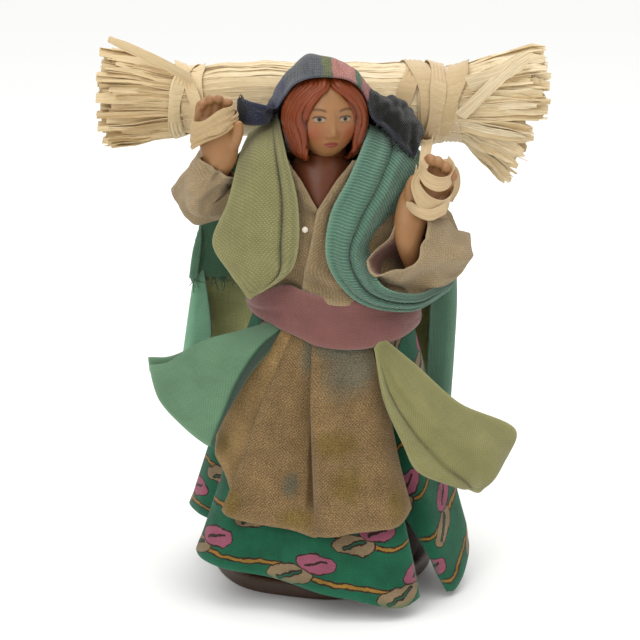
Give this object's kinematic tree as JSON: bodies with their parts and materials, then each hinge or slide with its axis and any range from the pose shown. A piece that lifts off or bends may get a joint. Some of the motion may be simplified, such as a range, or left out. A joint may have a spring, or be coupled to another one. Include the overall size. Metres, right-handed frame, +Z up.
{
  "type": "nativity figure",
  "caption": "Standing nativity figure of a shepherdess in stiffened cloth clothes who carries a bundle of straw across the shoulders, on a low oval base.",
  "frame": {"origin": "centre of the base's flat underside", "axes": "+Z up, the figure faces -Y, +X is to the right as seen from the front"},
  "size_m": [0.1292, 0.0801, 0.1542],
  "materials": {
    "brown_base": "painted dark brown, satin",
    "green_print": "printed cotton, stiffened",
    "painted_clay": "painted, low sheen",
    "beige_linen": "coarse linen",
    "tan_linen": "coarse linen with faded spots",
    "mauve_felt": "brushed cloth",
    "olive_weave": "plain weave",
    "teal_rib": "ribbed cloth",
    "straw": "raffia, low sheen",
    "dark_scarf": "coarse coloured weave",
    "dark_green": "plain cloth",
    "teal_cape": "plain cloth, olive inside",
    "white_bead": "glossy"
  },
  "bodies": {
    "root": {"base": "brown_base", "skirt": "green_print", "head_and_neck": "painted_clay", "left_hand": "painted_clay", "right_hand": "painted_clay", "blouse": "beige_linen", "apron": "tan_linen", "sash": "mauve_felt", "shoulder_drape_left": "olive_weave", "shoulder_drape_right": "teal_rib", "waist_flap_left": "teal_rib", "waist_flap_right": "olive_weave", "straw_bundle": "straw", "headscarf": "dark_scarf", "shawl": "dark_green", "cape": "teal_cape", "straw_tie_left": "straw", "straw_tie_right": "straw", "straw_strand_left": "straw", "straw_strand_right": "straw", "hand_ribbon_left": "straw", "hand_ribbon_right": "straw", "button": "white_bead"}
  },
  "joints": []
}
